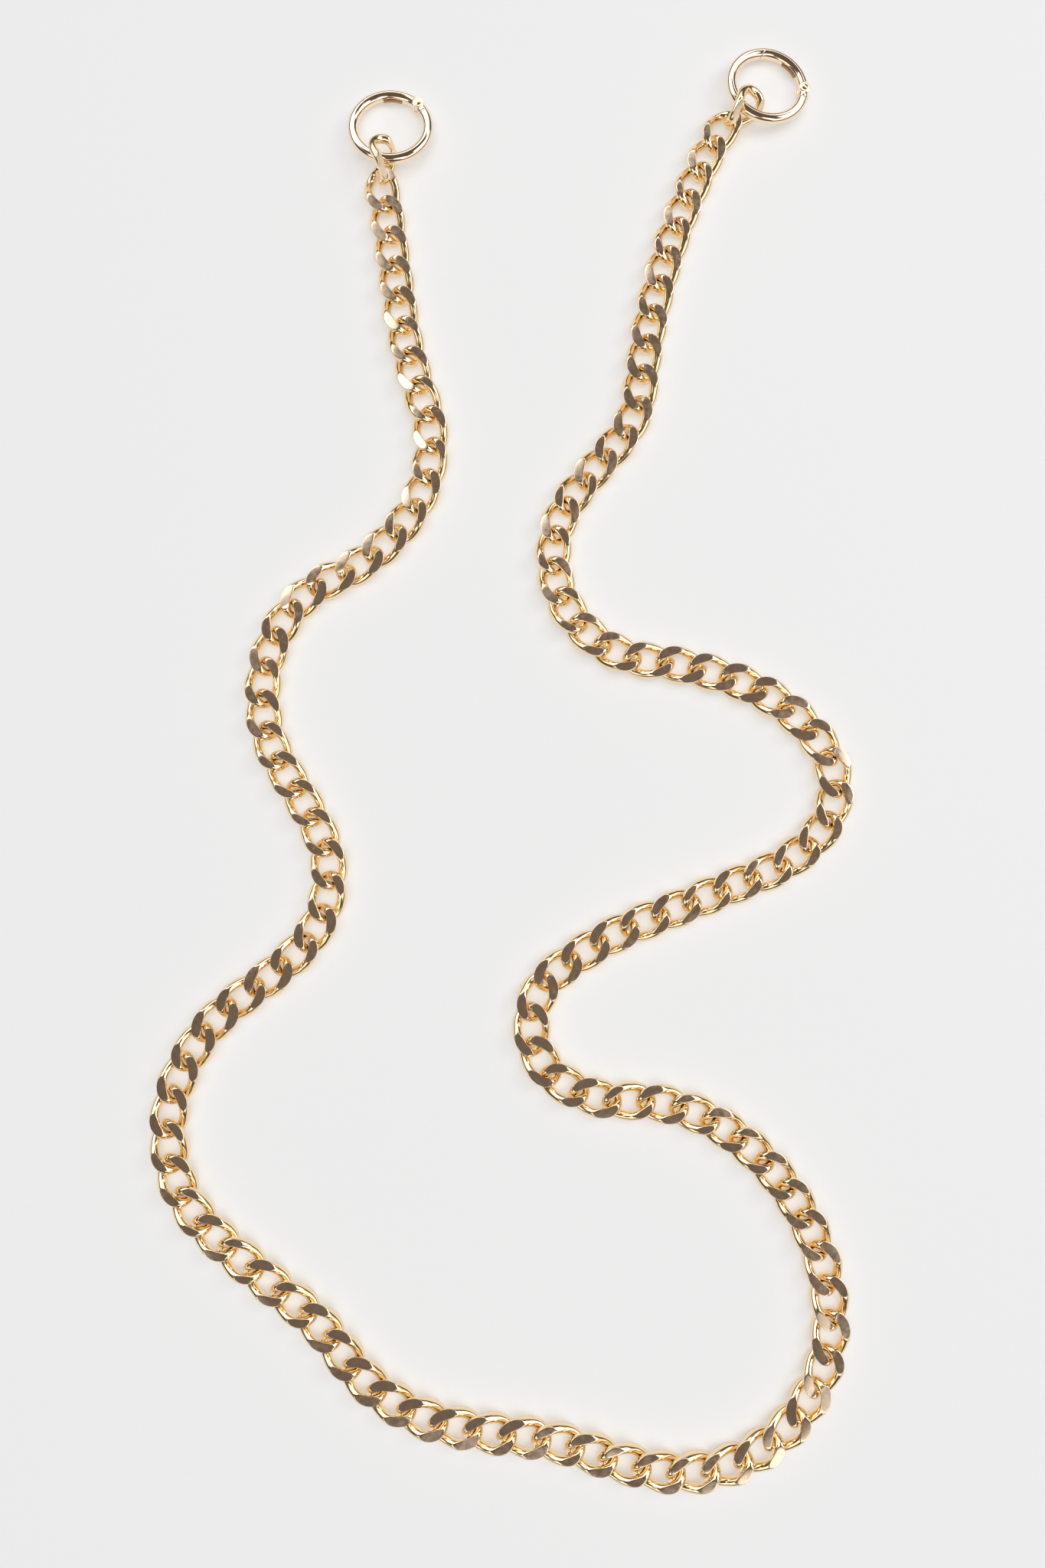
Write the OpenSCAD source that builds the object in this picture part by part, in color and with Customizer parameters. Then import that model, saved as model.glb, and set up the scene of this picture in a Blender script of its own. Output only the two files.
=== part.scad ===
// Flat curb chain strap with a spring-gate ring at each end, lying in loose bends on a table.
// Millimetres, +Z up, the table at z = 0, the origin under the middle of the whole strap.

/* [Links] */
// Number of links in the strap
link_count = 116; // [116:1:116]
// Overall width of a link
link_w = 10.6; // [10.4:0.1:10.8]
// Wire diameter of a link
wire_d = 2.6; // [2.4:0.05:2.6]
// Distance from the centre of one link to the next
pitch = 9.24; // [9.2:0.01:9.3]
// Free play between two links
play = 0.45; // [0.4:0.05:0.5]
// Thickness over the ground flats
flat_h = 4.4; // [4:0.1:5]
// Turn of each end bow out of the link's plane
bow_twist = 48; // [46:1:50]
// Slope of the long sides where they cross the middle plane
side_slope = 32; // [28:1:36]
// Share of a quarter link that the end bow takes against the side
bow_share = 1.6; // [1.4:0.1:1.8]

/* [Rings] */
// Outer diameter of a ring
ring_od = 25; // [24.8:0.1:25.2]
// Wire diameter of a ring
ring_wire_d = 3; // [2.9:0.1:3]
// Diameter of the gate's hinge pin
pin_d = 1; // [0.9:0.1:1]
// Diameter of the hinge knuckle
knuckle_d = 3.4; // [3.2:0.1:3.6]
// Thickness of the gate's tongue between the two ears
tongue_t = 1; // [0.9:0.1:1.1]
// Angle from the hinge pin to the gate's nose
gate_span = 93; // [91:1:95]

/* [Colours] */
// Plating on the links
link_color = "burlywood"; // [burlywood, gold, tan]
// Plating on the rings
ring_color = "wheat"; // [wheat, khaki, tan]
// Plating on the hinge pins
pin_color = "khaki"; // [khaki, wheat, silver]
// Steel of the gates' springs
spring_color = "gray"; // [gray, silver, dimgray]

/* [Hidden] */
group_count = 50;
sides = ["left", "right"];
$fn = 48;

half_l = (pitch + wire_d + play) / 2;
half_w = (link_w - wire_d) / 2;
// The side arcs are a touch thicker and run on into the bows, so that the arcs join.
side_d = wire_d + 0.03;
side_overrun = 0.3;
tip = [half_l, 0, 0];
tip_dir = [0, cos(bow_twist), -sin(bow_twist)];
side = [0, half_w, 0];
side_dir = [-cos(side_slope), 0, sin(side_slope)];

ring_r = (ring_od - ring_wire_d) / 2;
knuckle_gap = 0.1;
tongue_gap = 0.05;
pin_fit = 0.01;
pin_clearance = 0.05;
pin_head_d = 1.8;
pin_head_t = 0.2;
nose_gap = 0.06;
nose_step = 0.8;
nose_step_r = ring_r + 0.3;
nose_zone = [78, 112];
spring_zone = [26, 62];
spring_slot = [0.9, 0.9];
spring_leaf = [1.2, 0.7];
spring_proud = 0.5;
nose_reach = 2 * ring_r * sin(gate_span / 2);

// The lie of the strap: each row is a number of links and how far they turn together, in degrees.
route = [
    [2, -8], [3, 0], [3, 12], [4, -55], [3, -31], [2, 36], [5, 64], [2, -8], [4, -73], [2, -8],
    [3, 34], [5, 70], [3, 4], [2, -17], [4, 43], [2, 5], [2, -14], [2, 10], [8, 105], [6, 52],
    [3, 34], [2, -32], [4, -112], [3, -16], [4, 1], [2, 28], [3, 75], [3, 33], [3, 16], [3, -53],
    [4, -69], [2, -3], [2, 35], [8, -20], [2, -15]
];
start = [-38.23, 168.21];
start_heading = -74;
// The links at each end roll over to let a ring through. Each row is a link's number, then how far it lies
// from its place in the strap: x, y, z, heading, pitch and roll.
rolled_links = [
    [0, 2.9, -1.09, 2.98, -15.32, 3.68, -59.86],
    [1, 0, 0, 0.34, 0, 0, 2.08],
    [link_count - 2, 0, 0, 0.64, 0, 0, 2.27],
    [link_count - 1, 0.68, -1.97, 2.8, -3.28, 1.78, 60.35]
];
// Each ring, seen from the place of its end link: x, y and height of its middle, the direction that it
// slopes down in, its slope, and the direction of its hinge pin.
ring_pose_left = [4.67, 10.21, 3.39, 86.3, 8.7, 43];
ring_pose_right = [8.33, 6.28, 3.41, 41.4, 8.8, -2];

turns = [for (row = route) for (k = [1:row[0]]) row[1] / row[0]];
headings = [for (i = 0, h = start_heading; i < link_count; h = h + (i < len(turns) ? turns[i] : 0), i = i + 1) h];
steps = [for (i = [0:link_count - 2]) (along(headings[i]) + along(headings[i + 1])) * pitch / 2];
centres = [for (i = 0, c = start; i < link_count; c = c + (i < len(steps) ? steps[i] : [0, 0]), i = i + 1) c];

function along(heading) = [cos(heading), sin(heading)];
function unit(v) = v / norm(v);
function group_name(g) = str("links_", g < 10 ? "0" : "", g);
function first_of(g) = floor((g - 1) * link_count / group_count);
function roll_of(i) = concat([for (row = rolled_links) if (row[0] == i) row], [[i, 0, 0, 0, 0, 0, 0]])[0];

// Half the angle of the arc that leaves p along t and reaches q, its radius, and the way to its centre.
function half_turn(p, t, q) = acos(unit(q - p) * t);
function arc_radius(p, t, q) = norm(q - p) / (2 * sin(half_turn(p, t, q)));
function arc_inward(p, t, q) = unit(unit(q - p) - cos(half_turn(p, t, q)) * t);

// The point where two arcs meet smoothly, one leaving p along t and the other reaching q along u.
function meeting(p, t, q, u, share) =
    let (
        v = q - p,
        a = 2 * share * (1 - t * u),
        b = 2 * v * (share * t + u),
        e = (sqrt(b * b + 4 * a * v * v) - b) / (2 * a),
        d = share * e
    )
    (e * (p + d * t) + d * (q - e * u)) / (d + e);

// A wire bent to the arc that leaves p along t and reaches q, run on past q by some degrees.
module bent_wire(p, t, q, d, overrun) {
    r = arc_radius(p, t, q);
    n = arc_inward(p, t, q);
    w = cross(-n, t);
    translate(p)
        multmatrix([[-n.x, t.x, w.x, 0], [-n.y, t.y, w.y, 0], [-n.z, t.z, w.z, 0], [0, 0, 0, 1]])
            translate([-r, 0, 0])
                rotate_extrude(angle = 2 * half_turn(p, t, q) + overrun)
                    translate([r, 0])
                        circle(d = d);
}

// The four quarters of a link are one shape, turned half round about each of the link's axes.
module four_quarters() {
    for (end = [0, 180], face = [0, 180])
        rotate([face, 0, end])
            children();
}

// One twisted link, its upper and lower faces ground flat.
module link() {
    joint = meeting(tip, tip_dir, side, side_dir, bow_share);
    intersection() {
        union() {
            four_quarters()
                bent_wire(tip, tip_dir, joint, wire_d, 0);
            four_quarters()
                bent_wire(side, -side_dir, joint, side_d, side_overrun);
        }
        cube([4 * half_l, 4 * half_w, flat_h], center = true);
    }
}

module links(g) {
    for (i = [first_of(g):first_of(g + 1) - 1]) {
        pose = roll_of(i);
        color(link_color)
            translate([centres[i].x + pose[1], centres[i].y + pose[2], flat_h / 2 + pose[3]])
                rotate([pose[6], pose[5], headings[i] + pose[4]])
                    link();
    }
}

// Puts the pieces of the ring on one side where that ring lies. In a ring's own frame its pin is on +X.
module at_ring(side) {
    pose = side == "left" ? ring_pose_left : ring_pose_right;
    end = side == "left" ? centres[0] : centres[link_count - 1];
    translate([end.x + pose[0], end.y + pose[1], pose[2]])
        rotate([0, pose[4], pose[3]])
            rotate(pose[5] - pose[3])
                children();
}

module ring_arc(from, to) {
    rotate(from)
        rotate_extrude(angle = to - from)
            translate([ring_r, 0])
                circle(d = ring_wire_d);
}

module at_pin() {
    translate([ring_r, 0, 0])
        children();
}

module disc(r, t) {
    cylinder(r = r, h = t, center = true);
}

// A wedge about the ring's middle, wide enough to hold the wire.
module sector(from, to, r, t) {
    rotate(from)
        rotate_extrude(angle = to - from)
            translate([0, -t / 2])
                square([r, t]);
}

// What the gate sweeps at its nose: a cylinder about the pin, shorter outside the step.
module nose_sweep(extra) {
    intersection() {
        sector(nose_zone[0] - 10, nose_zone[1] + 10, ring_od, 2 * ring_wire_d);
        union() {
            intersection() {
                at_pin()
                    disc(nose_reach + extra, 2 * ring_wire_d);
                disc(nose_step_r + extra / 2, 2 * ring_wire_d);
            }
            at_pin()
                disc(nose_reach - nose_step + extra, 2 * ring_wire_d);
        }
    }
}

module ring(side) {
    color(ring_color) at_ring(side) difference() {
        union() {
            ring_arc(nose_zone[0], 360);
            at_pin()
                disc(knuckle_d / 2, ring_wire_d);
        }
        nose_sweep(nose_gap);
        at_pin() {
            disc(knuckle_d / 2 + 2 * knuckle_gap, tongue_t + 2 * tongue_gap);
            disc(pin_d / 2 + pin_fit, 2 * ring_wire_d);
        }
    }
}

module gate(side) {
    color(ring_color) at_ring(side) difference() {
        union() {
            intersection() {
                ring_arc(0, nose_zone[1]);
                union() {
                    nose_sweep(0);
                    sector(0, nose_zone[0], ring_od, 2 * ring_wire_d);
                }
            }
            at_pin()
                disc(knuckle_d / 2 - knuckle_gap, tongue_t);
        }
        at_pin()
            difference() {
                disc(knuckle_d / 2 + knuckle_gap, 2 * ring_wire_d);
                disc(knuckle_d, tongue_t);
            }
        at_pin()
            disc(pin_d / 2 + pin_clearance, 2 * ring_wire_d);
        rotate(spring_zone[0])
            rotate_extrude(angle = spring_zone[1] - spring_zone[0])
                translate([ring_r - ring_wire_d / 2 - 0.1, -spring_slot[1] / 2])
                    square([spring_slot[0] + 0.1, spring_slot[1]]);
    }
}

module gate_pin(side) {
    color(pin_color) at_ring(side) at_pin() {
        disc(pin_d / 2, ring_wire_d + 2 * pin_head_t);
        for (s = [-1, 1])
            translate([0, 0, s * (ring_wire_d + pin_head_t) / 2])
                disc(pin_head_d / 2, pin_head_t);
    }
}

// The leaf that drives the gate shut, lying in the slot on the gate's inner side and a little proud of it.
module gate_spring(side) {
    margin = 1;
    color(spring_color) at_ring(side) rotate(spring_zone[0] + margin)
        rotate_extrude(angle = spring_zone[1] - spring_zone[0] - 2 * margin)
            translate([ring_r - ring_wire_d / 2 - spring_proud, -spring_leaf[1] / 2])
                square(spring_leaf);
}

for (g = [1:group_count])
    links(g);
for (side = sides) {
    ring(side);
    gate(side);
    gate_pin(side);
    gate_spring(side);
}
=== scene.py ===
"""Looks of a long flat curb chain in pale gold plating, with a spring-gate ring on each end."""

from __future__ import annotations

import logging
import math
from collections.abc import Callable
from dataclasses import dataclass
from enum import Enum

import bpy
import numpy as np
from mathutils import Matrix, Vector


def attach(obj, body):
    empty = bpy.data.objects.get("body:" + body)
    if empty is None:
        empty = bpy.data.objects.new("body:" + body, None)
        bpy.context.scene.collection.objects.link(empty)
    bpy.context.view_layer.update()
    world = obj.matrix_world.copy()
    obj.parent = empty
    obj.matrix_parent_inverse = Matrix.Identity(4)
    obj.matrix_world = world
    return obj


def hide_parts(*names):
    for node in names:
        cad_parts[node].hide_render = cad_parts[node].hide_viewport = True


logging.basicConfig(level=logging.INFO, format="%(message)s")
log = logging.getLogger("chain")

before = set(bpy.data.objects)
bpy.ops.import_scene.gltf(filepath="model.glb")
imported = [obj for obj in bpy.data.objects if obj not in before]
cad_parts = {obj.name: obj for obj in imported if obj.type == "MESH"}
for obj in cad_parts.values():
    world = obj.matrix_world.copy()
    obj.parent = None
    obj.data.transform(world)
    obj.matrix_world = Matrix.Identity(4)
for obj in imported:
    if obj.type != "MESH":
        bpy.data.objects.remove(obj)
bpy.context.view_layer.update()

MM = 0.001
Z_AXIS = np.array([0.0, 0.0, 1.0])


class Side(Enum):
    """The two ends of the chain."""

    LEFT = "left"
    RIGHT = "right"


# ---------------------------------------------------------------- small helpers


def unit(v: np.ndarray) -> np.ndarray:
    """Scales vectors to length one.

    Args:
        v: vectors along the last axis.

    Returns:
        The same directions with length one.
    """
    return v / np.linalg.norm(v, axis=-1, keepdims=True)


def turn_about(axis: str, degrees: np.ndarray | float) -> np.ndarray:
    """Rotation matrices about one coordinate axis.

    Args:
        axis: "x", "y" or "z".
        degrees: one angle or an array of angles.

    Returns:
        Matrices of shape (..., 3, 3).
    """
    a = np.radians(np.asarray(degrees, float))
    c, s, one, nil = np.cos(a), np.sin(a), np.ones_like(a), np.zeros_like(a)
    rows = {
        "x": [[one, nil, nil], [nil, c, -s], [nil, s, c]],
        "y": [[c, nil, s], [nil, one, nil], [-s, nil, c]],
        "z": [[c, -s, nil], [s, c, nil], [nil, nil, one]],
    }[axis]
    return np.stack([np.stack(r, -1) for r in rows], -2)


def soft_min(a: np.ndarray, b: np.ndarray, width: float) -> np.ndarray:
    """The smaller of two values, with the corner between them rounded over a width.

    Args:
        a: first values.
        b: second values.
        width: how far apart the two may be and still blend.

    Returns:
        min(a, b) less a parabola that is deepest, at a quarter of the width, where they are equal.
    """
    near = np.clip(width - np.abs(a - b), 0.0, None)
    return np.minimum(a, b) - near * near / (4.0 * width)


def closed_grid_faces(rows: int, columns: int) -> np.ndarray:
    """Quads of a grid that closes on itself both ways.

    Args:
        rows: number of rows.
        columns: number of columns.

    Returns:
        An array of (rows * columns, 4) vertex numbers.
    """
    i, j = np.meshgrid(np.arange(rows), np.arange(columns), indexing="ij")
    k, m = (i + 1) % rows, (j + 1) % columns
    quads = np.stack([i * columns + j, k * columns + j, k * columns + m, i * columns + m], -1)
    return quads.reshape(-1, 4)


def capped_grid_faces(rows: int, columns: int) -> tuple[np.ndarray, np.ndarray]:
    """Faces of a tube whose two ends are closed by fans.

    Args:
        rows: rings of vertices along the tube.
        columns: vertices in each ring.

    Returns:
        Quads between the rings, and triangles to the two extra vertices that follow the last ring.
    """
    i, j = np.meshgrid(np.arange(rows - 1), np.arange(columns), indexing="ij")
    m = (j + 1) % columns
    quads = np.stack([i * columns + j, (i + 1) * columns + j, (i + 1) * columns + m, i * columns + m], -1)
    j = np.arange(columns)
    m = (j + 1) % columns
    last = (rows - 1) * columns
    first_fan = np.stack([j, m, np.full(columns, rows * columns)], -1)
    last_fan = np.stack([last + m, last + j, np.full(columns, rows * columns + 1)], -1)
    return quads.reshape(-1, 4), np.concatenate([first_fan, last_fan])


def outward(points: np.ndarray, faces: np.ndarray) -> bool:
    """Whether the faces of a closed surface face outward.

    Args:
        points: (n, 3) points.
        faces: (m, 3 or 4) vertex numbers.

    Returns:
        True when the sum of a . (b x c) over the faces' first three corners, and their last three when
        they have four, is positive: six times the volume inside.
    """
    a, b, c = (points[faces[:, k]] for k in range(3))
    total = np.einsum("ij,ij->", a, np.cross(b, c))
    if faces.shape[1] == 4:
        total += np.einsum("ij,ij->", a, np.cross(c, points[faces[:, 3]]))
    return bool(total > 0)


def build_piece(
    name: str, points: np.ndarray, quads: np.ndarray, fans: np.ndarray | None = None
) -> bpy.types.Object:
    """Makes a smooth mesh object at the origin from points in millimetres.

    Args:
        name: the object's name.
        points: (n, 3) points in the frame, in millimetres.
        quads: (m, 4) vertex numbers.
        fans: (k, 3) vertex numbers of any triangles.

    Returns:
        The new object, linked to the scene.
    """
    fans = np.zeros((0, 3), int) if fans is None else fans
    corners = np.concatenate([quads.ravel(), fans.ravel()])
    starts = np.concatenate([np.arange(len(quads)) * 4, quads.size + np.arange(len(fans)) * 3])
    mesh = bpy.data.meshes.new(name)
    mesh.vertices.add(len(points))
    mesh.vertices.foreach_set("co", (points * MM).astype(np.float32).ravel())
    mesh.loops.add(corners.size)
    mesh.loops.foreach_set("vertex_index", corners.astype(np.int32))
    mesh.polygons.add(len(starts))
    mesh.polygons.foreach_set("loop_start", starts.astype(np.int32))
    mesh.polygons.foreach_set("use_smooth", np.ones(len(starts), bool))
    mesh.update(calc_edges=True)
    mesh.validate()
    piece = bpy.data.objects.new(name, mesh)
    bpy.context.scene.collection.objects.link(piece)
    return piece


@dataclass
class Shell:
    """One closed surface: its points in millimetres and its faces."""

    points: np.ndarray
    quads: np.ndarray
    fans: np.ndarray

    def turned_out(self) -> "Shell":
        """Turns the faces outward.

        Returns:
            This shell if they face outward already, or else one with every face's corners in reverse.
        """
        middle = self.points.mean(0)
        faces = self.quads if len(self.quads) else self.fans
        if outward(self.points - middle, faces):
            return self
        return Shell(self.points, self.quads[:, ::-1], self.fans[:, ::-1])


def join_shells(shells: list[Shell]) -> Shell:
    """Puts several closed surfaces into one.

    Args:
        shells: the surfaces.

    Returns:
        One shell, in which each surface's faces count on from the points before it.
    """
    offsets = np.concatenate([[0], np.cumsum([len(s.points) for s in shells])[:-1]])
    return Shell(
        np.concatenate([s.points for s in shells]),
        np.concatenate([s.quads + o for s, o in zip(shells, offsets)]),
        np.concatenate([s.fans + o for s, o in zip(shells, offsets)]),
    )


def turned_solid(profile: np.ndarray, spot: tuple[float, float, float], columns: int) -> Shell:
    """A solid turned about a vertical axis.

    Args:
        profile: (k, 2) radius and height, from the bottom's middle to the top's middle.
        spot: where the axis stands.
        columns: vertices round the axis.

    Returns:
        Points (r cos a, r sin a, h) for a full turn, closed by a vertex on the axis at each end.
    """
    a = np.linspace(0.0, 2 * math.pi, columns, endpoint=False)
    ring = np.stack([np.cos(a), np.sin(a)], -1)
    skin = np.concatenate([profile[:, None, :1] * ring, np.repeat(profile[:, None, 1:], columns, 1)], -1)
    poles = np.array([[0.0, 0.0, profile[0, 1]], [0.0, 0.0, profile[-1, 1]]])
    quads, fans = capped_grid_faces(len(profile), columns)
    return Shell(np.concatenate([skin.reshape(-1, 3), poles]) + np.array(spot), quads, fans).turned_out()


def rounded_disc(radius: float, low: float, high: float, edge: float, crown: float = 0.0) -> np.ndarray:
    """Profile of a disc whose rims are quarter rounds and whose top may bulge.

    Args:
        radius: of the disc.
        low: height of the bottom.
        high: height of the rim of the top.
        edge: radius of the rims.
        crown: how much higher the middle of the top is.

    Returns:
        (k, 2) radius and height from the bottom's middle to the top's middle.
    """
    rim_points = 6
    a = np.linspace(0.0, math.pi / 2, rim_points)
    bottom = np.stack([radius - edge + edge * np.sin(a), low + edge - edge * np.cos(a)], -1)
    top = np.stack([radius - edge + edge * np.cos(a), high - edge + edge * np.sin(a)], -1)
    inner = (radius - edge) * np.array([0.85, 0.6, 0.35, 0.1])
    rise = high + crown * (1 - (inner / (radius - edge)) ** 2)
    below = np.stack([inner[::-1], np.full(len(inner), low)], -1)
    return np.concatenate([below, bottom, top, np.stack([inner, rise], -1)])


def add_attribute(piece: bpy.types.Object, name: str, values: np.ndarray) -> None:
    """Stores one value or one vector per vertex on a piece.

    Args:
        piece: the mesh object.
        name: the attribute's name.
        values: (n,) numbers or (n, 3) vectors.
    """
    if values.ndim == 1:
        layer = piece.data.attributes.new(name, "FLOAT", "POINT")
        layer.data.foreach_set("value", values.astype(np.float32))
    else:
        layer = piece.data.attributes.new(name, "FLOAT_VECTOR", "POINT")
        layer.data.foreach_set("vector", values.astype(np.float32).ravel())


# ---------------------------------------------------------------- finishes


@dataclass(frozen=True)
class PolishedMetal:
    """A polished metal: mirror-like on the round wire, finely brushed where the wire is ground flat."""

    name: str
    colour: tuple[float, float, float] = (0.97, 0.76, 0.47)
    ground_colour: tuple[float, float, float] = (0.95, 0.74, 0.54)
    polish: float = 0.09
    ground_polish: float = 0.20
    scratch_depth: float = 0.000008
    scratch_turn: float = 40.0
    scratch_strength: float = 0.6
    mark_stretch: tuple[float, float, float] = (0.25, 2.6, 1.0)
    mark_scale: float = 1.6
    mark_detail: float = 4.0
    haze_scale: float = 0.7
    haze_detail: float = 3.0
    # The band of the haze's noise that counts, and the roughness that it takes off and adds.
    haze_band: tuple[float, float] = (0.35, 0.75)
    haze_range: tuple[float, float] = (-0.03, 0.08)

    def material(self) -> bpy.types.Material:
        """Builds the node material.

        Returns:
            A metal whose roughness and fine scratches come from the link's own coordinates.
        """
        mat = bpy.data.materials.new(self.name)
        mat.use_nodes = True
        nodes, links = mat.node_tree.nodes, mat.node_tree.links
        shader = nodes["Principled BSDF"]
        shader.inputs["Metallic"].default_value = 1.0
        place = nodes.new("ShaderNodeAttribute")
        place.attribute_name = "link_place"
        ground = nodes.new("ShaderNodeAttribute")
        ground.attribute_name = "ground"
        # Brush marks: noise stretched along one direction of the link.
        turn = nodes.new("ShaderNodeMapping")
        turn.inputs["Rotation"].default_value = (0.0, 0.0, math.radians(self.scratch_turn))
        turn.inputs["Scale"].default_value = self.mark_stretch
        links.new(place.outputs["Vector"], turn.inputs["Vector"])
        marks = nodes.new("ShaderNodeTexNoise")
        marks.inputs["Scale"].default_value = self.mark_scale
        marks.inputs["Detail"].default_value = self.mark_detail
        links.new(turn.outputs["Vector"], marks.inputs["Vector"])
        # Handling haze: broad, faint, on the whole link.
        haze = nodes.new("ShaderNodeTexNoise")
        haze.inputs["Scale"].default_value = self.haze_scale
        haze.inputs["Detail"].default_value = self.haze_detail
        links.new(place.outputs["Vector"], haze.inputs["Vector"])
        tint = nodes.new("ShaderNodeMix")
        tint.data_type = "RGBA"
        tint.inputs["A"].default_value = (*self.colour, 1.0)
        tint.inputs["B"].default_value = (*self.ground_colour, 1.0)
        links.new(ground.outputs["Fac"], tint.inputs["Factor"])
        links.new(tint.outputs["Result"], shader.inputs["Base Color"])
        rough = nodes.new("ShaderNodeMix")
        rough.data_type = "FLOAT"
        rough.inputs["A"].default_value = self.polish
        rough.inputs["B"].default_value = self.ground_polish
        links.new(ground.outputs["Fac"], rough.inputs["Factor"])
        wear = nodes.new("ShaderNodeMapRange")
        wear.inputs["From Min"].default_value, wear.inputs["From Max"].default_value = self.haze_band
        wear.inputs["To Min"].default_value, wear.inputs["To Max"].default_value = self.haze_range
        links.new(haze.outputs["Fac"], wear.inputs["Value"])
        total = nodes.new("ShaderNodeMath")
        total.operation = "ADD"
        links.new(rough.outputs["Result"], total.inputs[0])
        links.new(wear.outputs["Result"], total.inputs[1])
        links.new(total.outputs["Value"], shader.inputs["Roughness"])
        depth = nodes.new("ShaderNodeMath")
        depth.operation = "MULTIPLY"
        links.new(marks.outputs["Fac"], depth.inputs[0])
        links.new(ground.outputs["Fac"], depth.inputs[1])
        bump = nodes.new("ShaderNodeBump")
        bump.inputs["Distance"].default_value = self.scratch_depth
        bump.inputs["Strength"].default_value = self.scratch_strength
        links.new(depth.outputs["Value"], bump.inputs["Height"])
        links.new(bump.outputs["Normal"], shader.inputs["Normal"])
        return mat


# ---------------------------------------------------------------- the lie of the chain


@dataclass(frozen=True)
class Lie:
    """Where every link lies: a walk of equal steps whose heading turns row by row."""

    pitch: float = 9.24
    start: tuple[float, float] = (-38.23, 168.21)
    start_heading: float = -74.0
    groups: int = 50
    # Each row is a number of links and how far they turn together, in degrees, rounded from a fit.
    rows: tuple[tuple[int, float], ...] = (
        (2, -8), (3, 0), (3, 12), (4, -55), (3, -31), (2, 36), (5, 64), (2, -8), (4, -73), (2, -8),
        (3, 34), (5, 70), (3, 4), (2, -17), (4, 43), (2, 5), (2, -14), (2, 10), (8, 105), (6, 52),
        (3, 34), (2, -32), (4, -112), (3, -16), (4, 1), (2, 28), (3, 75), (3, 33), (3, 16), (3, -53),
        (4, -69), (2, -3), (2, 35), (8, -20), (2, -15),
    )

    def headings(self) -> np.ndarray:
        """Heading of every link in degrees: the start plus all turns so far."""
        turns = np.concatenate([np.full(n, turn / n) for n, turn in self.rows])
        return self.start_heading + np.concatenate([[0.0], np.cumsum(turns)])

    def centres(self) -> np.ndarray:
        """Centre of every link in plan.

        Returns:
            (links, 2) points, each half a pitch along the link before it and half along its own way.
        """
        a = np.radians(self.headings())
        ways = np.stack([np.cos(a), np.sin(a)], -1)
        steps = (ways[:-1] + ways[1:]) * self.pitch / 2
        return np.array(self.start) + np.concatenate([[[0.0, 0.0]], np.cumsum(steps, 0)])

    def group(self, g: int, count: int) -> range:
        """The links of group g, counted from 0, out of a count of links."""
        return range(g * count // self.groups, (g + 1) * count // self.groups)


# ---------------------------------------------------------------- links


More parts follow.
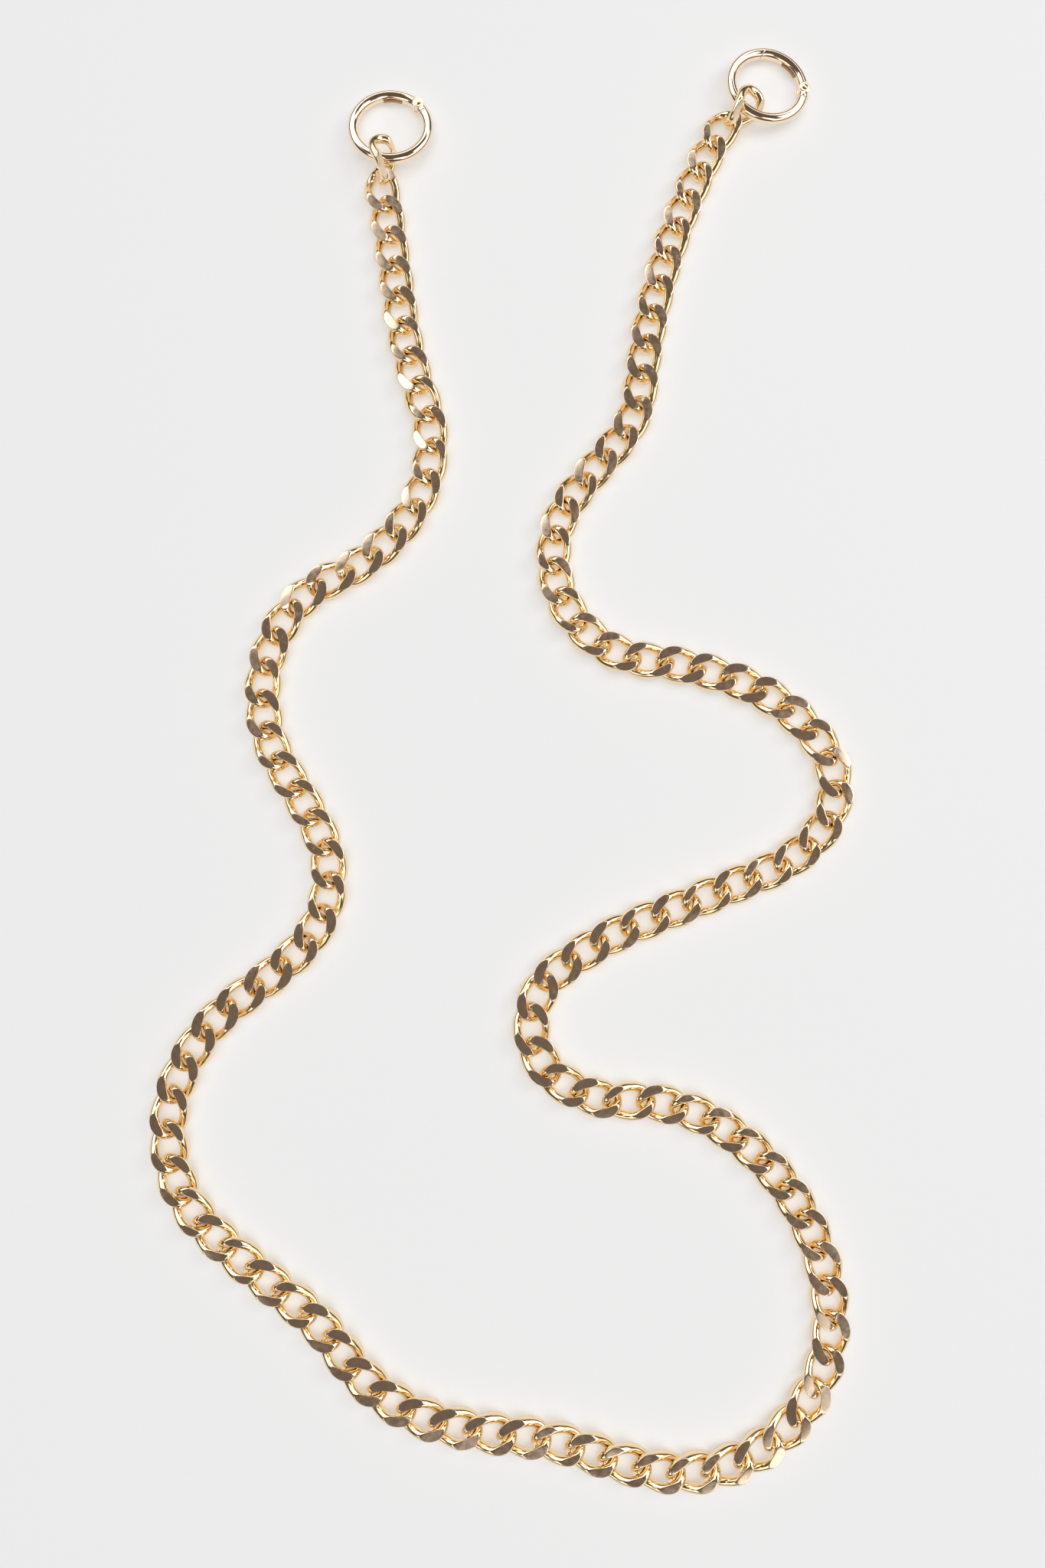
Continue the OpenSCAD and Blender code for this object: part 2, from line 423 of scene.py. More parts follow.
@dataclass
class CurbLinks:
    """All the links: one wire bent round, twisted, and ground flat on both faces."""

    lie: Lie
    finish: PolishedMetal
    # The wire is drawn a little thicker than in the CAD, but not where a ring goes through.
    wire_d: float = 2.7
    slim_wire_d: float = 2.6
    link_w: float = 10.6
    play: float = 0.45
    flat_h: float = 4.4
    bow_twist: float = 48.0
    side_slope: float = 32.0
    bow_share: float = 1.6
    # The ground faces bulge a little across the link, and each is ground at its own small tilt.
    crown_r: float = 42.0
    tilt: float = 0.07
    tilt_rates: tuple[float, float] = (12.9898, 78.233)
    tilt_starts: tuple[float, float] = (1.3, 4.1)
    # How sharply the tilt changes over from one side of the link to the other.
    side_change: float = 2.0
    rim: float = 0.14
    # Least angle that a ground face takes up on a section, and the number of halvings that find it.
    least_edge: float = 0.12
    halvings: int = 18
    # How far the metal's pattern moves on from one link to the next.
    pattern_step: float = 37.0
    sections: int = 84
    flat_stations: tuple[float, ...] = (0.0, 0.5, 0.8, 0.93)
    round_stations: tuple[float, ...] = (0.0, 0.04, 0.1, 0.22, 0.36, 0.5, 0.64, 0.78, 0.9, 0.96)
    # Links that roll over to let a ring through: number, x, y, z, heading, pitch, roll, from a search for
    # places where no two of them touch.
    rolled: tuple[tuple[float, ...], ...] = (
        (0, 2.9, -1.09, 2.98, -15.32, 3.68, -59.86),
        (1, 0.0, 0.0, 0.34, 0.0, 0.0, 2.08),
        (114, 0.0, 0.0, 0.64, 0.0, 0.0, 2.27),
        (115, 0.68, -1.97, 2.8, -3.28, 1.78, 60.35),
    )

    def quarter(self, wire_d: float, count: int = 60) -> np.ndarray:
        """A quarter of the wire's centre line: two arcs that meet smoothly.

        One arc leaves the tip of the link along the twisted bow, the other leaves the middle of the long
        side, and they meet where the lengths of their end tangents are in the ratio bow_share.

        Args:
            wire_d: diameter of the wire.
            count: points on each arc.

        Returns:
            Points from the tip to the side, in millimetres.
        """
        bow, slope = math.radians(self.bow_twist), math.radians(self.side_slope)
        p = np.array([(self.lie.pitch + wire_d + self.play) / 2, 0.0, 0.0])
        t = np.array([0.0, math.cos(bow), -math.sin(bow)])
        q = np.array([0.0, (self.link_w - wire_d) / 2, 0.0])
        u = np.array([-math.cos(slope), 0.0, math.sin(slope)])
        v = q - p
        a = 2 * self.bow_share * (1 - t @ u)
        b = 2 * v @ (self.bow_share * t + u)
        e = (math.sqrt(b * b + 4 * a * (v @ v)) - b) / (2 * a)
        d = self.bow_share * e
        m = (e * (p + d * t) + d * (q - e * u)) / (d + e)
        bow_arc = self.arc(p, t, m, count)
        side_arc = self.arc(q, -u, m, count)
        return np.concatenate([bow_arc[:-1], side_arc[::-1]])

    @staticmethod
    def arc(p: np.ndarray, t: np.ndarray, q: np.ndarray, count: int) -> np.ndarray:
        """The circular arc that leaves p along t and reaches q.

        Args:
            p: start.
            t: direction at the start.
            q: end.
            count: points on the arc.

        Returns:
            p + r (sin a * t + (1 - cos a) * n) for a from 0 to twice the angle between t and the chord.
        """
        chord = q - p
        half = math.acos(float(unit(chord) @ t))
        r = float(np.linalg.norm(chord)) / (2 * math.sin(half))
        n = unit(unit(chord) - math.cos(half) * t)
        a = np.linspace(0.0, 2 * half, count)[:, None]
        return p + r * (np.sin(a) * t + (1 - np.cos(a)) * n)

    def centre_line(self, wire_d: float) -> tuple[np.ndarray, np.ndarray]:
        """The closed centre line, evenly spaced, and its directions.

        Args:
            wire_d: diameter of the wire.

        Returns:
            Points and unit tangents, each (sections, 3). The four quarters are one, turned half round
            about each axis of the link.
        """
        one = self.quarter(wire_d)
        about_y, about_z, about_x = one * [-1, 1, -1], one * [-1, -1, 1], one * [1, -1, -1]
        loop = np.concatenate([one[:-1], about_y[::-1][:-1], about_z[:-1], about_x[::-1]])
        along = np.concatenate([[0.0], np.cumsum(np.linalg.norm(np.diff(loop, axis=0), axis=1))])
        want = np.linspace(0.0, along[-1], self.sections, endpoint=False)
        step = along[-1] / 1000

        def at(s: np.ndarray) -> np.ndarray:
            """Points at lengths s along the loop."""
            s = np.mod(s, along[-1])
            return np.stack([np.interp(s, along, loop[:, k]) for k in range(3)], -1)

        return at(want), unit(at(want + step) - at(want - step))

    def face_height(self, p: np.ndarray, face: int, lean: np.ndarray) -> np.ndarray:
        """Height of a ground face above the link's middle plane.

        Args:
            p: points, (..., 3).
            face: 1 for the upper face, -1 for the lower.
            lean: (..., 2) slopes of this face along and across the link.

        Returns:
            Half the thickness, less y squared over twice the crown radius, plus a small tilt on the
            upper face.
        """
        crown = p[..., 1] ** 2 / (2 * self.crown_r)
        side = np.tanh(p[..., 1] * self.side_change)
        tip = (lean[..., 0] * p[..., 0] * side + lean[..., 1] * np.abs(p[..., 1])) if face > 0 else 0.0
        return self.flat_h / 2 - crown + tip

    def leans(self, count: int) -> np.ndarray:
        """Small tilts of each link's faces, from a formula that jumps about from link to link.

        Args:
            count: number of links.

        Returns:
            (count, 2) slopes.
        """
        i = np.arange(count)
        wobble = np.stack([np.sin(i * a + b) for a, b in zip(self.tilt_rates, self.tilt_starts)], -1)
        return wobble * self.tilt

    def surfaces(self, count: int) -> tuple[np.ndarray, np.ndarray]:
        """The skin of every link in its own frame.

        The wire is swept round the centre line. On each section the angle is counted from the direction
        nearest to +Z, and the stations crowd at the edges of the ground faces, which are found by
        halving. Heights beyond a face are then pressed onto it with a rounded edge.

        Args:
            count: number of links.

        Returns:
            Points (count, sections, stations, 3), and how far each point is on a ground face, from 0 to 1.
        """
        slim = np.isin(np.arange(count), [row[0] for row in self.rolled])
        diameter = np.where(slim, self.slim_wire_d, self.wire_d)
        lines = [self.centre_line(self.wire_d), self.centre_line(self.slim_wire_d)]
        line, way = (np.stack([both[0], both[1]])[slim.astype(int)] for both in zip(*lines))
        up = unit(Z_AXIS - way[..., 2:3] * way)
        out = np.cross(way, up)
        lean = self.leans(count)[:, None, :]

        def skin(angle: np.ndarray) -> np.ndarray:
            """Points on the full round wire.

            Args:
                angle: (links, sections) or (links, sections, stations) angles from the upward direction.

            Returns:
                The centre line plus r (cos angle * up + sin angle * out).
            """
            wide = angle.ndim == 3
            c, u, o = (x[:, :, None] if wide else x for x in (line, up, out))
            r = diameter.reshape((count,) + (1,) * angle.ndim) / 2
            return c + r * (np.cos(angle)[..., None] * u + np.sin(angle)[..., None] * o)

        def edge(face: int, sign: int) -> np.ndarray:
            """Finds where the round wire meets a ground face.

            Args:
                face: 1 for the upper face, -1 for the lower.
                sign: which way round the section to go.

            Returns:
                (links, sections) angles from the face's own direction.
            """
            base = 0.0 if face > 0 else math.pi
            low = np.zeros((count, self.sections))
            high = np.full_like(low, math.pi / 2)
            for _ in range(self.halvings):
                mid = (low + high) / 2
                p = skin(base + sign * mid)
                inside = p[..., 2] * face > self.face_height(p, face, lean)
                low, high = np.where(inside, mid, low), np.where(inside, high, mid)
            return np.maximum(low, self.least_edge)

        knots = [
            np.zeros((count, self.sections)),
            edge(1, 1),
            math.pi - edge(-1, -1),
            np.full((count, self.sections), math.pi),
            math.pi + edge(-1, 1),
            2 * math.pi - edge(1, -1),
            np.full((count, self.sections), 2 * math.pi),
        ]
        flat = np.array(self.flat_stations)
        flat_back = np.concatenate([[0.0], 1 - flat[:0:-1]])
        turn = np.array(self.round_stations)
        shares = [flat, turn, flat_back, flat, turn, flat_back]
        angle = np.concatenate(
            [a[..., None] + (b - a)[..., None] * s for a, b, s in zip(knots[:-1], knots[1:], shares)], -1
        )
        points = skin(angle)
        lean = lean[:, :, None, :]
        above = self.face_height(points, 1, lean)
        below = self.face_height(points, -1, lean)
        past = np.maximum(points[..., 2] - above, -points[..., 2] - below)
        z = soft_min(points[..., 2], above, self.rim)
        points[..., 2] = -soft_min(-z, below, self.rim)
        return points, np.clip(past / self.rim + 0.5, 0.0, 1.0)

    def placed(self, local: np.ndarray) -> np.ndarray:
        """Moves every link from its own frame to where it lies.

        Args:
            local: (count, sections, stations, 3) points.

        Returns:
            The same points in the frame, in millimetres.
        """
        count = len(local)
        spots = np.concatenate([self.lie.centres(), np.full((count, 1), self.flat_h / 2)], 1)
        turns = np.stack([self.lie.headings(), np.zeros(count), np.zeros(count)], -1)
        for number, x, y, z, heading, pitch, roll in self.rolled:
            spots[int(number)] += (x, y, z)
            turns[int(number)] += (heading, pitch, roll)
        spin = turn_about("z", turns[:, 0]) @ turn_about("y", turns[:, 1]) @ turn_about("x", turns[:, 2])
        return np.einsum("nij,nskj->nski", spin, local) + spots[:, None, None]

    def build(self) -> list[bpy.types.Object]:
        """Builds one piece for each links node, and rides it on that node's body.

        Returns:
            The pieces.
        """
        count = len(self.lie.headings())
        local, ground = self.surfaces(count)
        world = self.placed(local)
        rows, stations = local.shape[1:3]
        one = closed_grid_faces(rows, stations)
        material = self.finish.material()
        pieces = []
        for g in range(self.lie.groups):
            ids = self.lie.group(g, count)
            node = f"links_{g + 1:02d}"
            quads = np.concatenate([one + k * rows * stations for k in range(len(ids))])
            piece = build_piece(f"curb_{node}", world[list(ids)].reshape(-1, 3), quads)
            add_attribute(piece, "ground", ground[list(ids)].ravel())
            shift = np.array(list(ids))[:, None, None, None] * np.array([0.0, 0.0, self.pattern_step])
            add_attribute(piece, "link_place", (local[list(ids)] + shift).reshape(-1, 3))
            piece.data.materials.append(material)
            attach(piece, node)
            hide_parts(node)
            pieces.append(piece)
        return pieces


# ---------------------------------------------------------------- rings


@dataclass(frozen=True)
class RingPose:
    """Where one ring lies, seen from the middle of its end link."""

    side: Side
    x: float
    y: float
    height: float
    downhill: float
    slope: float
    pin_way: float

    def place(self, local: np.ndarray, end_link: np.ndarray) -> np.ndarray:
        """Moves points from the ring's own frame to where the ring lies.

        Args:
            local: (n, 3) points; the ring lies flat and its pin is on +X.
            end_link: middle of the end link in plan.

        Returns:
            (n, 3) points in the frame, in millimetres.
        """
        spin = turn_about("z", self.downhill) @ turn_about("y", self.slope)
        spin = spin @ turn_about("z", self.pin_way - self.downhill)
        return local @ spin.T + np.array([end_link[0] + self.x, end_link[1] + self.y, self.height])


@dataclass
class SpringGateRing:
    """A round ring with a gate on a pin, and the leaf that springs the gate shut."""

    pose: RingPose
    lie: Lie
    plating: PolishedMetal
    pin_finish: PolishedMetal
    spring_finish: PolishedMetal
    ring_r: float = 11.0
    wire_d: float = 3.0
    gate_span: float = 93.0
    knuckle_r: float = 1.7
    tongue_t: float = 1.0
    pin_r: float = 0.5
    head_r: float = 0.95
    head_h: float = 0.2
    nose_gap: float = 0.07
    nose_step: float = 0.8
    nose_step_at: float = 0.3
    collar: float = 15.0
    seam_depth: float = 0.16
    seam_width: float = 0.11
    seam_rows: int = 15
    # Share of the wire's length that the crowded rows reach on each side of the seam.
    seam_reach: float = 0.0012
    rows: int = 220
    columns: int = 96
    # Play between tongue and lugs, and how far the wires stop short of each other at the knuckle.
    lug_gap: float = 0.06
    lug_rim: float = 0.16
    heel_gap: float = 0.22
    heel_reach: float = 1.0
    tongue_fit: float = 0.01
    tongue_root: float = 0.35
    tongue_rim: float = 0.05
    tongue_inset: float = 0.1
    gate_gap: float = 0.12
    # Share of the head's height below its crown, and the share that the crown adds.
    head_side: float = 0.6
    head_crown: float = 0.4
    head_rim: float = 0.06
    head_sunk: float = 0.02
    leaf_rows: int = 60
    leaf_columns: int = 40
    # Power of the leaf's outline: 1 would be an ellipse, and near 0 a box.
    leaf_power: float = 0.16
    # Widths of the leaf's closing rows, and how far in from its end the last of them and the body lie.
    leaf_close: tuple[float, float, float] = (0.05, 0.6, 0.93)
    leaf_inset: tuple[float, float] = (0.001, 0.008)
    bevel: float = 0.09
    spring_zone: tuple[float, float] = (27.0, 61.0)
    spring_size: tuple[float, float] = (1.2, 0.7)
    spring_proud: float = 0.5

    def angle_at(self, rho: np.ndarray, reach: np.ndarray | float) -> np.ndarray:
        """Angle round the ring at which a point of the wire is a given distance from the pin.

        Args:
            rho: how far the point is outside the wire's middle.
            reach: its distance from the pin's axis.

        Returns:
            acos((r r + R R - reach reach) / (2 r R)), in radians, with R the ring's radius and r = R + rho.
        """
        r = self.ring_r + rho
        return np.arccos(np.clip((r * r + self.ring_r**2 - reach**2) / (2 * r * self.ring_r), -1.0, 1.0))

    def nose(self, rho: np.ndarray, gap: float) -> np.ndarray:
        """Angle of the stepped seam where the gate's nose meets the fixed wire.

        Args:
            rho: how far a point is outside the wire's middle.
            gap: how far the seam stands off from the gate.

        Returns:
            Angles in radians, nearer to the pin beyond the step.
        """
        reach = 2 * self.ring_r * math.sin(math.radians(self.gate_span) / 2)
        outer = rho > self.nose_step_at + gap / 2
        return self.angle_at(rho, np.where(outer, reach - self.nose_step, reach) + gap)

    def swept(
        self,
        start: Callable[[np.ndarray, np.ndarray], np.ndarray],
        end: Callable[[np.ndarray, np.ndarray], np.ndarray],
        seam: float | None = None,
    ) -> Shell:
        """Sweeps the round wire along the ring between two shaped ends with small bevels.

        Args:
            start: angle of the first end, from how far out and how high a point of the section is.
            end: angle of the other end, from the same.
            seam: angle, in degrees, of a groove round the wire, if there is one.

        Returns:
            Points ((R + d) cos a, (R + d) sin a, h), where (d, h) goes round the section and a goes from
            start to end; the end faces are the section shrunk towards its middle.
        """
        r = self.wire_d / 2
        turn = np.linspace(0.0, 2 * math.pi, self.columns, endpoint=False)
        round_off = np.radians(np.array([0.0, 30.0, 60.0, 90.0]))
        face = np.array([0.03, 0.2, 0.33, 0.45, 0.6, 0.75, 0.88])
        near = self.bevel * (1 - np.cos(round_off)) / self.ring_r
        thin = 1 - self.bevel / r * (1 - np.sin(round_off))
        body = np.linspace(0.0, 1.0, self.rows)[1:-1]
        if seam is not None:
            # Rows crowd where the seam is.
            crowd = self.seam_share(seam) + np.linspace(-1, 1, self.seam_rows) * self.seam_reach
            body = np.sort(np.concatenate([body, crowd]))
        shrink = np.concatenate([face, thin, np.ones(len(body)), thin[::-1], face[::-1]])
        closing = len(face) + len(near)
        share = np.concatenate([np.zeros(closing), body, np.ones(closing)])
        none = np.zeros(len(face))
        inset = np.concatenate([none, near, np.full(len(body), near[-1]), near[::-1], none])
        d = r * shrink[:, None] * np.cos(turn)
        h = r * shrink[:, None] * np.sin(turn)
        share, inset = share[:, None], inset[:, None]
        a = (start(d, h) + inset) * (1 - share) + (end(d, h) - inset) * share
        if seam is not None:
            dip = self.seam_depth * np.exp(-(((a - math.radians(seam)) * self.ring_r / self.seam_width) ** 2))
            d, h = d * (1 - dip / r), h * (1 - dip / r)
        skin = np.stack([(self.ring_r + d) * np.cos(a), (self.ring_r + d) * np.sin(a), h], -1)
        poles = np.stack([skin[0].mean(0), skin[-1].mean(0)])
        quads, fans = capped_grid_faces(len(shrink), self.columns)
        return Shell(np.concatenate([skin.reshape(-1, 3), poles]), quads, fans).turned_out()

    def seam_share(self, seam: float) -> float:
        """Share of the fixed wire's length, from nose to knuckle, at which an angle lies."""
        return (seam - self.gate_span) / (360.0 - self.gate_span)

    def disc(self, profile: np.ndarray, columns: int = 64) -> Shell:
        """A solid turned about the pin."""
        return turned_solid(profile, (self.ring_r, 0.0, 0.0), columns)

    def fixed(self) -> Shell:
        """The fixed wire, the two lugs of its knuckle and the crimped collar behind them.

        Returns:
            The swept wire and one rounded disc above and one below the tongue.
        """
        half = self.tongue_t / 2 + self.lug_gap

        def heel(d: np.ndarray, h: np.ndarray) -> np.ndarray:
            """The end at the knuckle: cut clear of the tongue in the middle, inside the lugs elsewhere."""
            reach = np.where(np.abs(h) < half, self.knuckle_r + self.heel_gap, self.heel_reach)
            return 2 * math.pi - self.angle_at(d, reach)

        wire = self.swept(lambda d, h: self.nose(d, self.nose_gap), heel, 360.0 - self.collar)
        top = self.wire_d / 2
        upper = self.disc(rounded_disc(self.knuckle_r, half, top, self.lug_rim))
        lower = self.disc(rounded_disc(self.knuckle_r, -top, -half, self.lug_rim))
        return join_shells([wire, upper, lower])

    def gate(self) -> Shell:
        """The gate's wire and the flat tongue that the pin goes through.

        Returns:
            The swept wire, and a bevelled outline turned about the pin.
        """
        half = self.tongue_t / 2 - self.tongue_fit

        def heel(d: np.ndarray, h: np.ndarray) -> np.ndarray:
            """The end at the knuckle: runs into the tongue in the middle, clear of the lugs elsewhere."""
            root, clear = self.knuckle_r - self.tongue_root, self.knuckle_r + self.gate_gap
            return self.angle_at(d, np.where(np.abs(h) < half, root, clear))

        wire = self.swept(heel, lambda d, h: self.nose(d, 0.0))
        a = np.linspace(0.0, 2 * math.pi, 64, endpoint=False)
        inner, outer, rim = self.pin_r + self.lug_gap, self.knuckle_r - self.tongue_inset, self.tongue_rim
        profile = np.array([
            [inner, -half], [outer - rim, -half], [outer, -half + rim],
            [outer, half - rim], [outer - rim, half], [inner, half],
        ])
        eye = np.stack(
            [self.ring_r + profile[:, 0] * np.cos(a)[:, None], profile[:, 0] * np.sin(a)[:, None],
             np.repeat(profile[None, :, 1], len(a), 0)], -1
        ).reshape(-1, 3)
        tongue = Shell(eye, closed_grid_faces(len(a), len(profile)), np.zeros((0, 3), int)).turned_out()
        return join_shells([wire, tongue])

    def pin(self) -> Shell:
        """The pin, headed over at both ends.

        Returns:
            The shaft, and a crowned disc on each end of it.
        """
        top = self.wire_d / 2
        side, crown = top + self.head_h * self.head_side, self.head_crown * self.head_h
        head = rounded_disc(self.head_r, top - self.head_sunk, side, self.head_rim, crown)
        upper = self.disc(head, 48)
        lower = self.disc(head[::-1] * [1.0, -1.0], 48)
        shaft = self.disc(rounded_disc(self.pin_r, -top, top, self.head_sunk), 32)
        return join_shells([shaft, upper, lower])

    def spring(self) -> Shell:
        """The leaf: a flat strip with rounded corners, bent along the inner side of the gate.

        Returns:
            A section whose sides are cos a and sin a raised to a small power, swept round the ring's middle.
        """
        deep, tall = self.spring_size
        a = np.linspace(0.0, 2 * math.pi, self.leaf_columns, endpoint=False)
        c, s = np.cos(a), np.sin(a)
        sides = [np.sign(c) * np.abs(c) ** self.leaf_power, np.sign(s) * np.abs(s) ** self.leaf_power]
        outline = np.stack(sides, -1) * [deep / 2, tall / 2]
        shrink = np.array([*self.leaf_close, *np.ones(self.leaf_rows), *self.leaf_close[::-1]])
        first, last = np.radians(self.spring_zone)
        tip, root = self.leaf_inset
        body = np.linspace(first + root, last - root, self.leaf_rows)
        turn = np.array([first, first, first + tip, *body, last - tip, last, last])
        mid = self.ring_r - self.wire_d / 2 - self.spring_proud + deep / 2
        r = mid + shrink[:, None] * outline[:, 0]
        height = shrink[:, None] * outline[:, 1]
        skin = np.stack([r * np.cos(turn)[:, None], r * np.sin(turn)[:, None], height], -1)
        poles = np.stack([skin[0].mean(0), skin[-1].mean(0)])
        quads, fans = capped_grid_faces(len(shrink), len(a))
        return Shell(np.concatenate([skin.reshape(-1, 3), poles]), quads, fans).turned_out()

    def build(self) -> list[bpy.types.Object]:
        """Builds the four pieces of the ring and rides each on its node's body.

        Returns:
            The pieces.
        """
        centres = self.lie.centres()
        end_link = centres[0] if self.pose.side is Side.LEFT else centres[-1]
        side = self.pose.side.value
        parts = [
            ("ring", "ring", self.fixed(), self.plating, "ring_plating"),
            ("gate", "gate", self.gate(), self.plating, "ring_plating"),
            ("gate_pin", "ring", self.pin(), self.pin_finish, "pin_plating"),
            ("gate_spring", "gate", self.spring(), self.spring_finish, "spring_steel"),
        ]
        pieces = []
        for stem, body, shell, finish, slot in parts:
            node = f"{stem}_{side}"
            points = self.pose.place(shell.points, end_link)
            piece = build_piece(f"turned_{node}", points, shell.quads, shell.fans)
            add_attribute(piece, "link_place", shell.points)
            piece.data.materials.append(finish.material())
            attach(piece, f"{body}_{side}")
            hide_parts(node)
            pieces.append(piece)
        return pieces


# ---------------------------------------------------------------- studio


@dataclass
class Studio:
    """A pale table, soft light and the camera above it."""

    sensor_width: float = 36.0

    # The point of the table under the middle of the picture.
    aim: tuple[float, float] = (4.38, -14.73)
    distance: float = 329.8
    tilt: float = 5.2
    side_tilt: float = -0.8
    roll: float = -0.24
    focal_share: float = 1530 / 2048
    floor_colour: float = 0.86
    floor_half: float = 4000.0
    # How far the table top lies below zero, so that it never touches a link.
    floor_drop: float = 0.02
    floor_roughness: float = 0.9
    floor_gloss: float = 0.1
    fill: float = 0.29
    wall: tuple[float, float, float] = (1.50, 1.50, 1.52)
    ceiling: tuple[float, float, float] = (0.112, 0.090, 0.076)
    # Cosines from the zenith between which the wall gives way to the ceiling.
    ceiling_edge: tuple[float, float] = (0.64, 0.69)
    # Soft boxes: direction, cosines of the outer and inner edge, brightness.
    boxes: tuple[tuple[tuple[float, float, float], float, float, float], ...] = (
        ((-0.45, 0.60, 0.62), 0.93, 0.95, 2.4),
        ((0.75, 0.15, 0.62), 0.93, 0.95, 2.2),
        ((0.30, -0.62, 0.72), 0.965, 0.98, 1.6),
    )
    # Dark gaps between them: direction and cosines of the outer and inner edge.
    gaps: tuple[tuple[tuple[float, float, float], float, float], ...] = (
        ((0.05, -1.0, 0.30), 0.90, 0.95),
        ((-0.92, -0.15, 0.36), 0.93, 0.95),
        ((0.55, 0.80, 0.25), 0.95, 0.97),
    )
    stand: tuple[float, float, float] = (0.10, 0.09, 0.085)
    # The lower part of the wall is dimmer, below a height whose sine lies between these.
    low_wall: tuple[float, float, float] = (0.95, 0.92, 0.90)
    low_edge: tuple[float, float] = (0.42, 0.34)
    # Sines of the heights between which the dark foot of the wall ends.
    foot: tuple[float, float] = (0.29, 0.24)
    # Cosines from the zenith over which the even ceiling brightens.
    light_spread: tuple[float, float] = (0.55, 1.0)
    low_light: tuple[float, float, float] = (0.10, 0.10, 0.10)
    high_light: tuple[float, float, float] = (1.31, 1.31, 1.31)
    # The lamp: where it hangs and the side of its square in metres, and its power in watts.
    key_place: tuple[float, float, float] = (1.3, 0.5, 1.1)
    key_size: float = 0.7
    key_power: float = 4.0

    def camera(self) -> None:
        """Places the camera over the table, tipped a little back."""
        data = bpy.data.cameras.new("camera")
        data.sensor_width = self.sensor_width
        data.lens = data.sensor_width * self.focal_share
        data.clip_start, data.clip_end = 0.01, 50.0
        camera = bpy.data.objects.new("camera", data)
        a, b = math.radians(self.tilt), math.radians(self.side_tilt)
        look = Vector((-math.sin(b), math.sin(a) * math.cos(b), -math.cos(a) * math.cos(b)))
        right = look.cross(Vector((0, 1, 0))).normalized()
        up = right.cross(look)
        roll = math.radians(self.roll)
        right, up = right * math.cos(roll) + up * math.sin(roll), up * math.cos(roll) - right * math.sin(roll)
        place = Vector((*self.aim, 0.0)) * MM - look * self.distance * MM
        turn = Matrix((right, up, -look)).transposed().to_4x4()
        camera.matrix_world = Matrix.Translation(place) @ turn
        bpy.context.scene.collection.objects.link(camera)
        bpy.context.scene.camera = camera

    def floor(self) -> None:
        """Lays the pale table top."""
        half = self.floor_half
        corners = np.array([[-half, -half, 0.0], [half, -half, 0.0], [half, half, 0.0], [-half, half, 0.0]])
        floor = build_piece("table", corners - [0.0, 0.0, self.floor_drop], np.array([[0, 1, 2, 3]]))
        mat = bpy.data.materials.new("table_top")
        mat.use_nodes = True
        shader = mat.node_tree.nodes["Principled BSDF"]
        shader.inputs["Base Color"].default_value = (self.floor_colour,) * 3 + (1.0,)
        shader.inputs["Roughness"].default_value = self.floor_roughness
        shader.inputs["Specular IOR Level"].default_value = self.floor_gloss
        # A little glow stands in for light from the room beyond the table, and softens the shadows.
        shader.inputs["Emission Color"].default_value = (1.0, 1.0, 1.0, 1.0)
        shader.inputs["Emission Strength"].default_value = self.fill
        floor.data.materials.append(mat)

    def dome(self) -> None:
        """Fills the room with soft light.

        Matt surfaces are lit from a bright, even ceiling. Metal sees the studio: a dark ceiling round the
        camera, bright walls below it, soft boxes high up on the sides and the dark stand of the camera.
        """
        world = bpy.data.worlds.new("room")
        bpy.context.scene.world = world
        world.use_nodes = True
        nodes, links = world.node_tree.nodes, world.node_tree.links
        where = nodes.new("ShaderNodeTexCoord").outputs["Generated"]

        def facing(way: tuple[float, float, float], far: float, near: float) -> bpy.types.NodeSocket:
            """How nearly a ray goes in a direction.

            Args:
                way: the direction.
                far: cosine between the two at which the result is 0.
                near: cosine at which it is 1.

            Returns:
                A socket that goes smoothly from 0 to 1 between the two cosines.
            """
            dot = nodes.new("ShaderNodeVectorMath")
            dot.operation = "DOT_PRODUCT"
            dot.inputs[1].default_value = Vector(way).normalized()
            links.new(where, dot.inputs[0])
            ramp = nodes.new("ShaderNodeMapRange")
            ramp.interpolation_type = "SMOOTHSTEP"
            ramp.inputs["From Min"].default_value = far
            ramp.inputs["From Max"].default_value = near
            links.new(dot.outputs["Value"], ramp.inputs["Value"])
            return ramp.outputs["Result"]

        def blend(
            base: bpy.types.NodeSocket | tuple, top: tuple, share: bpy.types.NodeSocket
        ) -> bpy.types.NodeSocket:
            """Mixes a colour over another.

            Args:
                base: the colour below, or the socket that gives it.
                top: the colour above.
                share: socket with the share of the upper colour.

            Returns:
                The socket of the mixed colour.
            """
            mix = nodes.new("ShaderNodeMix")
            mix.data_type = "RGBA"
            if isinstance(base, tuple):
                mix.inputs["A"].default_value = (*base, 1.0)
            else:
                links.new(base, mix.inputs["A"])
            mix.inputs["B"].default_value = (*top, 1.0)
            links.new(share, mix.inputs["Factor"])
            return mix.outputs["Result"]

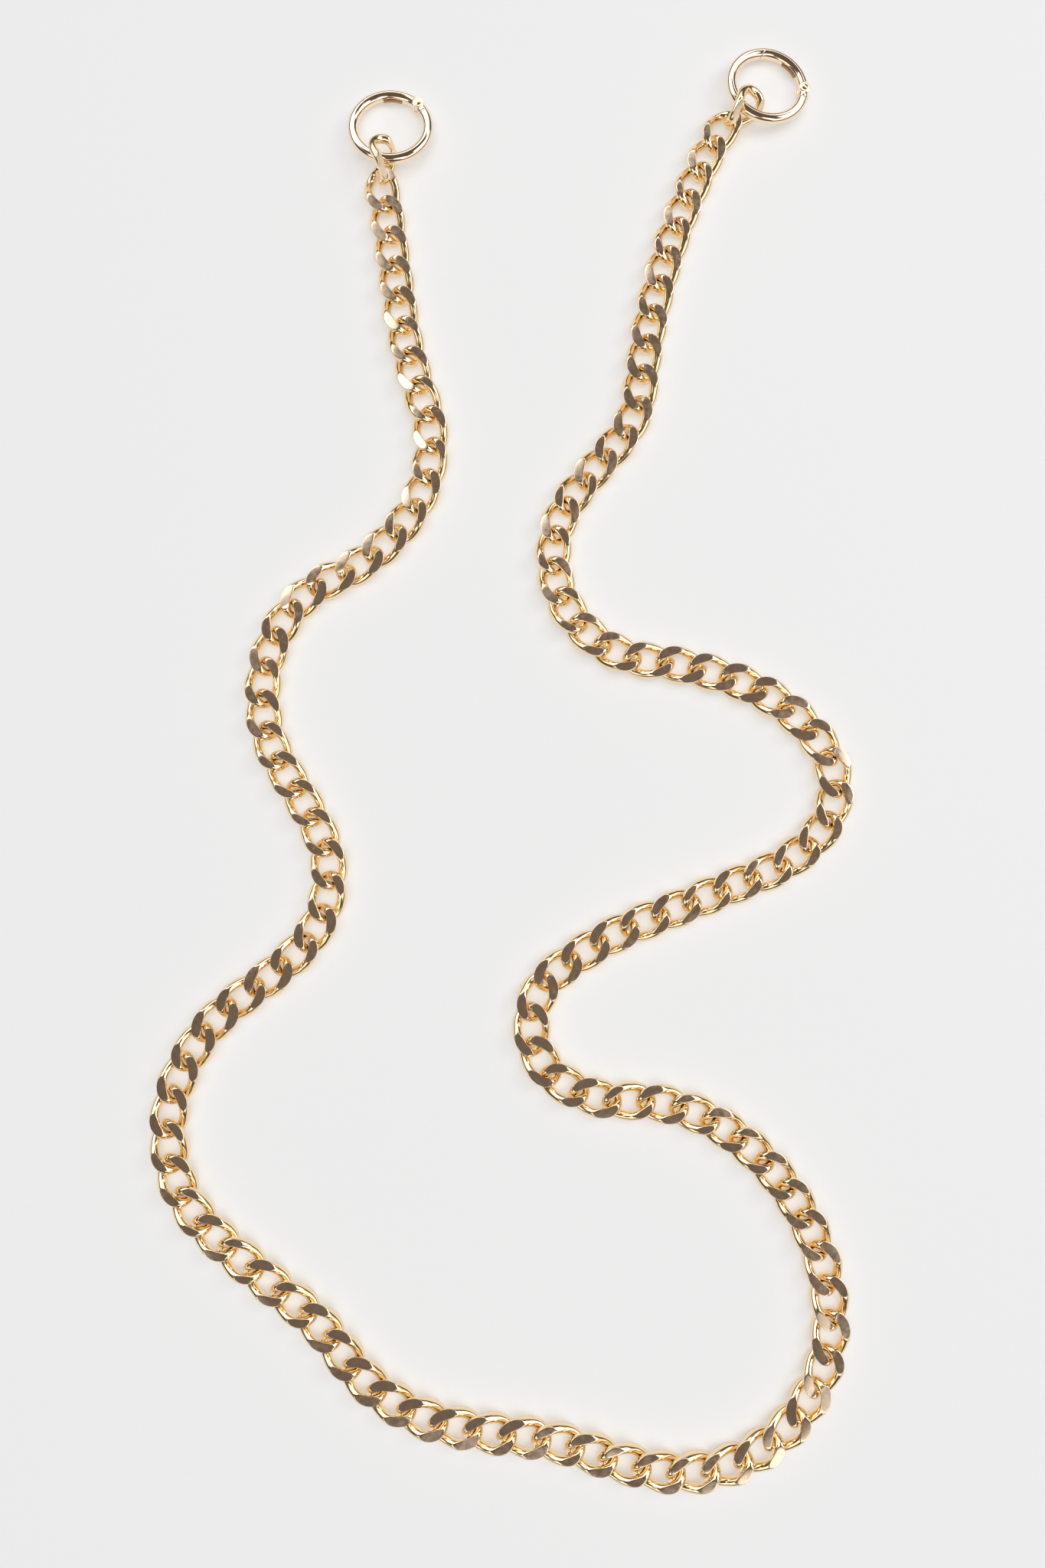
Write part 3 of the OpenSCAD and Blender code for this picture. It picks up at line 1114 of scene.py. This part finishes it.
        seen = blend(self.wall, self.ceiling, facing((0.0, 0.0, 1.0), *self.ceiling_edge))
        seen = blend(seen, self.low_wall, facing((0.0, 0.0, 1.0), *self.low_edge))
        for way, far, near, light in self.boxes:
            seen = blend(seen, (light,) * 3, facing(way, far, near))
        for way, far, near in self.gaps:
            seen = blend(seen, self.stand, facing(way, far, near))
        seen = blend(seen, self.stand, facing((0.0, 0.0, 1.0), *self.foot))
        even = blend(self.low_light, self.high_light, facing((0.0, 0.0, 1.0), *self.light_spread))
        path = nodes.new("ShaderNodeLightPath")
        both = nodes.new("ShaderNodeMix")
        both.data_type = "RGBA"
        links.new(even, both.inputs["A"])
        links.new(seen, both.inputs["B"])
        links.new(path.outputs["Is Glossy Ray"], both.inputs["Factor"])
        links.new(both.outputs["Result"], nodes["Background"].inputs["Color"])
        nodes["Background"].inputs["Strength"].default_value = 1.0

    def lamp(self, name: str, place: tuple[float, float, float], size: float, power: float) -> None:
        """Adds one square soft box aimed at the middle of the table.

        Args:
            name: the lamp's name.
            place: where it hangs, in metres.
            size: side of the square, in metres.
            power: watts.
        """
        data = bpy.data.lights.new(name, "AREA")
        data.size, data.energy = size, power
        lamp = bpy.data.objects.new(name, data)
        lamp.location = place
        lamp.rotation_euler = (-Vector(place)).to_track_quat("-Z", "Y").to_euler()
        bpy.context.scene.collection.objects.link(lamp)

    def build(self) -> None:
        """Sets up everything that isn't part of the object."""
        self.camera()
        self.floor()
        self.dome()
        self.lamp("key", self.key_place, self.key_size, self.key_power)
        bpy.context.scene.view_settings.view_transform = "Standard"


def main() -> None:
    """Builds the chain and the room, and reports each piece."""
    lie = Lie()
    pieces = CurbLinks(lie, PolishedMetal("link_gold")).build()
    ring_gold = PolishedMetal("ring_gold", colour=(0.98, 0.80, 0.60), polish=0.05)
    pin_gold = PolishedMetal("pin_gold", colour=(0.96, 0.76, 0.52), polish=0.10)
    spring_bronze = PolishedMetal("spring_bronze", colour=(0.42, 0.24, 0.13), polish=0.22)
    for pose in (
        RingPose(Side.LEFT, x=4.67, y=10.21, height=3.39, downhill=86.3, slope=8.7, pin_way=43.0),
        RingPose(Side.RIGHT, x=8.33, y=6.28, height=3.41, downhill=41.4, slope=8.8, pin_way=-2.0),
    ):
        pieces += SpringGateRing(pose, lie, ring_gold, pin_gold, spring_bronze).build()
    for piece in pieces:
        log.info("%s: %d faces", piece.name, len(piece.data.polygons))
    Studio().build()


if __name__ == "__main__":
    main()
